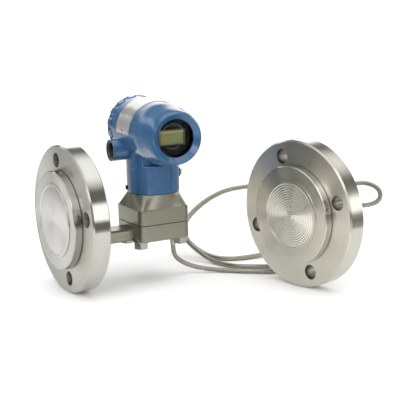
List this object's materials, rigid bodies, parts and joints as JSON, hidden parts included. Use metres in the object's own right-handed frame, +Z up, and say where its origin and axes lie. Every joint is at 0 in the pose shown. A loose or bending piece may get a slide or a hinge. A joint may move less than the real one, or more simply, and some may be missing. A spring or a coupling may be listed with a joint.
{
  "type": "level transmitter",
  "caption": "Differential pressure level transmitter with a flanged diaphragm seal, a remote flanged seal on an armoured capillary, and a round housing with a display.",
  "frame": {"origin": "centre of the process flange's front face, in the plane that its bolt holes open on", "axes": "-X out of the process seal's face, along its bolts, +X towards the transmitter, +Z up the housing's neck, -Y towards the display"},
  "size_m": [0.4421, 0.3415, 0.2396],
  "materials": {
    "flange_steel": "machined",
    "seal_steel": "turned and polished",
    "diaphragm_steel": "satin foil",
    "block_steel": "bead blasted",
    "bolt_steel": "plain",
    "black_steel": "black oxide",
    "armour_steel": "corrugated armour",
    "housing_paint": "gloss powder coat",
    "plate_steel": "polished sheet",
    "plug_paint": "black",
    "rubber_ring": "smooth",
    "gasket_black": "matt",
    "window_glass": "clear",
    "display_black": "matt",
    "display_film": "display film",
    "moulding_grey": "matt",
    "terminal_brass": "nickelled"
  },
  "bodies": {
    "base": {"block_bolts": "bolt_steel", "block_washers": "bolt_steel", "capillary": "armour_steel", "capillary_adapter": "bolt_steel", "connecting_arm": "block_steel", "fill_plug": "bolt_steel", "module_gasket": "gasket_black", "neck_ring": "rubber_ring", "pressure_block": "block_steel", "process_diaphragm": "diaphragm_steel", "process_flange": "flange_steel", "process_seal_body": "seal_steel", "remote_diaphragm": "diaphragm_steel", "remote_flange": "flange_steel", "remote_seal_body": "seal_steel", "remote_socket": "bolt_steel", "sensor_module": "block_steel"},
    "housing": {"electronics_housing": "housing_paint", "lock_screw": "black_steel", "ground_screw": "bolt_steel", "conduit_plug": "plug_paint", "nameplate": "plate_steel", "plate_screws": "bolt_steel", "display_bezel": "display_black", "display_panel": "display_film", "display_pillars": "bolt_steel", "electronics_module": "moulding_grey", "terminal_block": "moulding_grey", "terminal_screws": "terminal_brass", "earth_screw": "terminal_brass"},
    "front_ring": {"front_cover_ring": "rubber_ring"},
    "front_cap": {"front_cover": "housing_paint", "cover_glass": "window_glass", "glass_retainer": "black_steel"},
    "rear_ring": {"rear_cover_ring": "rubber_ring"},
    "rear_cap": {"rear_cover": "housing_paint"}
  },
  "joints": [
    {"name": "housing_swivel", "type": "hinge", "parent": "base", "child": "housing", "pos_m": [0.131, 0, 0], "axis": [0, 0, 1], "range_deg": [-180, 180]},
    {"name": "front_cover_travel", "type": "slide", "parent": "housing", "child": "front_ring", "axis": [-0.0785, -0.9969, 0], "range_m": [0, 0.008]},
    {"name": "front_cover_turn", "type": "hinge", "parent": "front_ring", "child": "front_cap", "pos_m": [0.131, 0, 0.103], "axis": [-0.0785, -0.9969, 0], "range_deg": [0, 1440]},
    {"name": "rear_cover_travel", "type": "slide", "parent": "housing", "child": "rear_ring", "axis": [0.0785, 0.9969, 0], "range_m": [0, 0.008]},
    {"name": "rear_cover_turn", "type": "hinge", "parent": "rear_ring", "child": "rear_cap", "pos_m": [0.131, 0, 0.103], "axis": [0.0785, 0.9969, 0], "range_deg": [0, 1440]}
  ],
  "couplings": [
    {"joint": "front_cover_travel", "follows": "front_cover_turn", "m_per_rad": 0.00031831},
    {"joint": "rear_cover_travel", "follows": "rear_cover_turn", "m_per_rad": 0.00031831}
  ]
}
